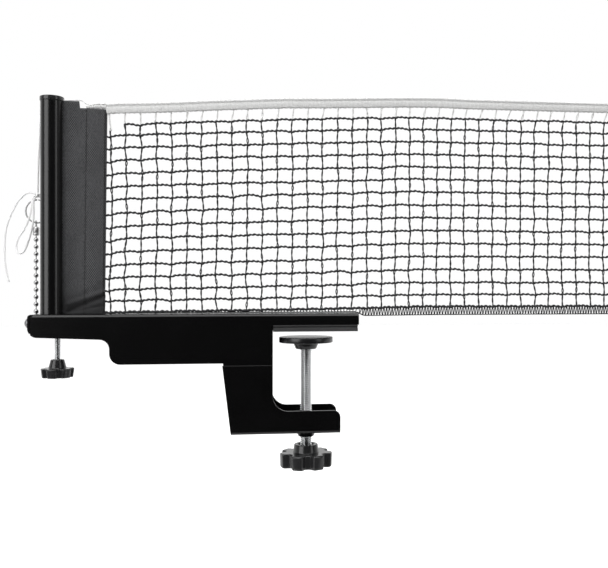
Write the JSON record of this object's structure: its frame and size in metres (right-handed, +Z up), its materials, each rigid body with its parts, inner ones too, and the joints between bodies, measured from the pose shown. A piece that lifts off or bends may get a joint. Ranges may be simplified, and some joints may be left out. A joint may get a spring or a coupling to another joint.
{
  "type": "table tennis net clamp",
  "caption": "Table tennis net clamp: folded steel bracket with a star-knob screw clamp, slotted net post on a height screw, ball-chain cord tensioner, net sleeve and a length of net.",
  "frame": {"origin": "on the underside of the rubber jaw pad, which lies on the table top, on the axis of the clamp screw", "axes": "+Z up, along the clamp screw and the net post; +X from the post along the net, over the table; +Y across the bracket, away from the viewer of the picture"},
  "size_m": [0.419, 0.036, 0.2487],
  "materials": {
    "black_paint": "satin black powder coat",
    "black_plastic": "moulded black plastic",
    "bright_zinc": "bright zinc plate",
    "black_nylon": "moulded black nylon",
    "black_rubber": "matt black rubber",
    "black_cloth": "black woven cloth",
    "black_thread": "knotted black twine",
    "white_tape": "white woven tape",
    "white_cord": "off-white braided cord"
  },
  "bodies": {
    "bracket": {"upper_bracket": "black_paint", "clamp_channel": "black_paint", "jaw_plate": "black_paint", "jaw_pad": "black_rubber", "thread_bush": "black_paint", "guide_block": "black_nylon", "end_screw": "bright_zinc", "height_nut": "bright_zinc", "ball_chain": "bright_zinc", "chain_coupling": "bright_zinc", "cord_ring": "bright_zinc", "cord_knot": "white_cord", "cord_bow": "white_cord", "cord_tail": "white_cord"},
    "post": {"post_tube": "black_paint", "post_cap": "black_plastic", "foot_plug": "black_plastic", "net_rod": "black_nylon", "net_sleeve": "black_cloth", "net_mesh": "black_thread", "net_selvedge": "black_thread", "net_tape": "white_tape", "tension_cord": "white_cord"},
    "height_screw_set": {"height_screw": "bright_zinc", "height_knob": "black_plastic"},
    "clamp_plate": {"pressure_plate": "black_plastic"},
    "clamp_screw_set": {"clamp_screw": "bright_zinc", "clamp_knob": "black_plastic", "retaining_clip": "bright_zinc"}
  },
  "joints": [
    {"name": "net_height", "type": "slide", "parent": "bracket", "child": "post", "axis": [0, 0, 1], "range_m": [0, 0.006]},
    {"name": "height_knob_turn", "type": "hinge", "parent": "post", "child": "height_screw_set", "pos_m": [-0.161, 0, -0.02], "axis": [0, 0, 1], "continuous": true},
    {"name": "jaw_travel", "type": "slide", "parent": "bracket", "child": "clamp_plate", "axis": [0, 0, 1], "range_m": [-0.0435, 0.0024]},
    {"name": "clamp_knob_turn", "type": "hinge", "parent": "clamp_plate", "child": "clamp_screw_set", "pos_m": [0, 0, -0.08], "axis": [0, 0, 1], "continuous": true}
  ],
  "couplings": [
    {"joint": "height_knob_turn", "follows": "net_height", "rad_per_m": 8976},
    {"joint": "clamp_knob_turn", "follows": "jaw_travel", "rad_per_m": 5026.5}
  ]
}
